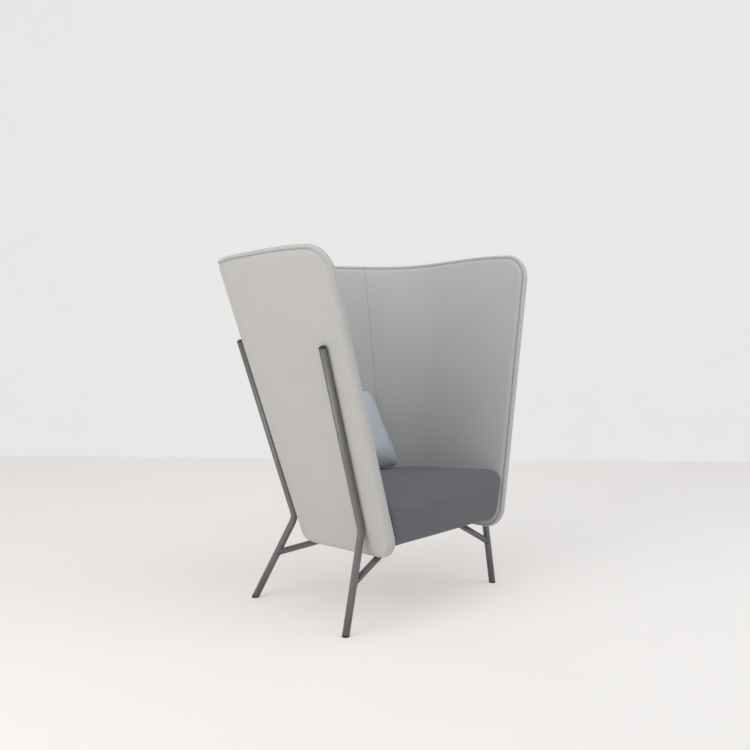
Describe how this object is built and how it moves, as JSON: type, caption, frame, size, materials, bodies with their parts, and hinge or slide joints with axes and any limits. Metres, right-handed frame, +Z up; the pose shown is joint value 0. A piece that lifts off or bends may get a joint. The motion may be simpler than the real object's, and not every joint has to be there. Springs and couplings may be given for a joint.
{
  "type": "acoustic_high_back_lounge_chair",
  "caption": "High back lounge chair: a padded shell curves round the seat and flares upwards, on bent tube legs with struts, with a loose back pillow.",
  "frame": {"origin": "on the floor, at the middle of the chair's width and depth", "axes": "+X to the right seen from the front, +Y from the front to the back, +Z up"},
  "size_m": [1.1136, 0.8598, 1.259],
  "materials": {
    "outer_fabric": "wool_felt",
    "lining_fabric": "wool_felt",
    "seat_fabric": "wool_felt",
    "pillow_fabric": "wool_felt",
    "tube_paint": "satin",
    "black_plastic": "matte",
    "plywood": "raw",
    "zinc_steel": "zinc_plated"
  },
  "bodies": {
    "chair": {"shell_core": "plywood", "outer_cover": "outer_fabric", "inner_left_pad": "lining_fabric", "inner_right_pad": "lining_fabric", "inner_back_pad": "lining_fabric", "edge_welt": "outer_fabric", "seat_board": "plywood", "seat_cushion": "seat_fabric", "front_left_leg": "tube_paint", "front_right_leg": "tube_paint", "rear_left_leg": "tube_paint", "rear_right_leg": "tube_paint", "front_left_strut": "tube_paint", "front_right_strut": "tube_paint", "rear_left_strut": "tube_paint", "rear_right_strut": "tube_paint", "left_rail": "tube_paint", "right_rail": "tube_paint", "left_bracket": "zinc_steel", "right_bracket": "zinc_steel", "front_left_tube_cap": "black_plastic", "front_right_tube_cap": "black_plastic", "rear_left_tube_cap": "black_plastic", "rear_right_tube_cap": "black_plastic", "front_left_foot": "black_plastic", "front_right_foot": "black_plastic", "rear_left_foot": "black_plastic", "rear_right_foot": "black_plastic", "leg_spacers": "zinc_steel", "leg_bushes": "zinc_steel", "leg_screws": "zinc_steel", "rail_screws": "zinc_steel", "board_inserts": "zinc_steel", "bracket_screws": "zinc_steel", "wall_screws": "zinc_steel"},
    "pillow": {"back_pillow": "pillow_fabric"}
  },
  "joints": [
    {"name": "pillow_lift", "type": "slide", "parent": "chair", "child": "pillow", "axis": [0, 0, 1], "range_m": [0, 0.9]}
  ]
}
